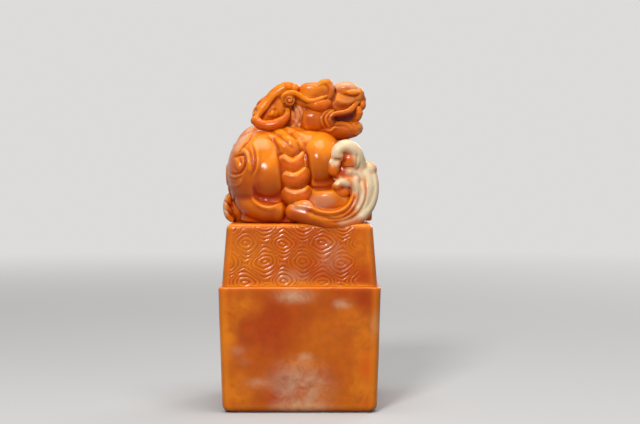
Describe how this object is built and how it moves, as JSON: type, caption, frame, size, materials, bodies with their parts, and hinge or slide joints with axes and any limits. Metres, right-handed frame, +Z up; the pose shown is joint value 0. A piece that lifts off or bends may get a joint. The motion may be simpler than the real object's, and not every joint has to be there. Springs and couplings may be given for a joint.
{
  "type": "seal stamp",
  "caption": "Square stone seal stamp: a block with a flat seal face, a tapered collar cut with a wave brocade, and a crouching horned beast as the knob.",
  "frame": {"origin": "centre of the flat seal face under the block", "axes": "+Z up through the knob; +X towards the beast's muzzle; +Y out of its chest, so the rump and tail face -Y"},
  "size_m": [0.048, 0.048, 0.099],
  "materials": {
    "red_stone": "waxed polish",
    "amber_stone": "waxed polish",
    "cream_stone": "waxed polish"
  },
  "bodies": {
    "root": {"skull": "red_stone", "lower_jaw": "red_stone", "horn_left": "amber_stone", "horn_right": "amber_stone", "brow_left": "amber_stone", "brow_right": "amber_stone", "eye_left": "cream_stone", "eye_right": "cream_stone", "nose": "amber_stone", "upper_lip_left": "red_stone", "upper_lip_right": "red_stone", "ear_left": "red_stone", "ear_right": "red_stone", "fangs": "cream_stone", "torso": "red_stone", "neck": "amber_stone", "haunch_left": "red_stone", "haunch_right": "red_stone", "shoulder_left": "amber_stone", "shoulder_right": "amber_stone", "chest": "amber_stone", "thigh_left": "red_stone", "thigh_right": "red_stone", "hock_right": "amber_stone", "hind_paw_left": "amber_stone", "hind_paw_right": "amber_stone", "foreleg_left": "red_stone", "foreleg_right": "red_stone", "fore_paw_left": "amber_stone", "fore_paw_right": "amber_stone", "spine_plate_1": "red_stone", "spine_plate_2": "red_stone", "spine_plate_3": "red_stone", "tail_outer": "cream_stone", "tail_middle": "amber_stone", "tail_inner": "amber_stone", "tail_crown_curl": "cream_stone", "tail_side_curl": "cream_stone", "haunch_spiral_left": "amber_stone", "mane_scroll": "red_stone", "mane_lock_upper": "amber_stone", "mane_lock_lower": "amber_stone", "mane_lock_far_upper": "amber_stone", "mane_lock_far_lower": "amber_stone", "seal_block": "amber_stone", "brocade_collar": "red_stone"}
  },
  "joints": []
}
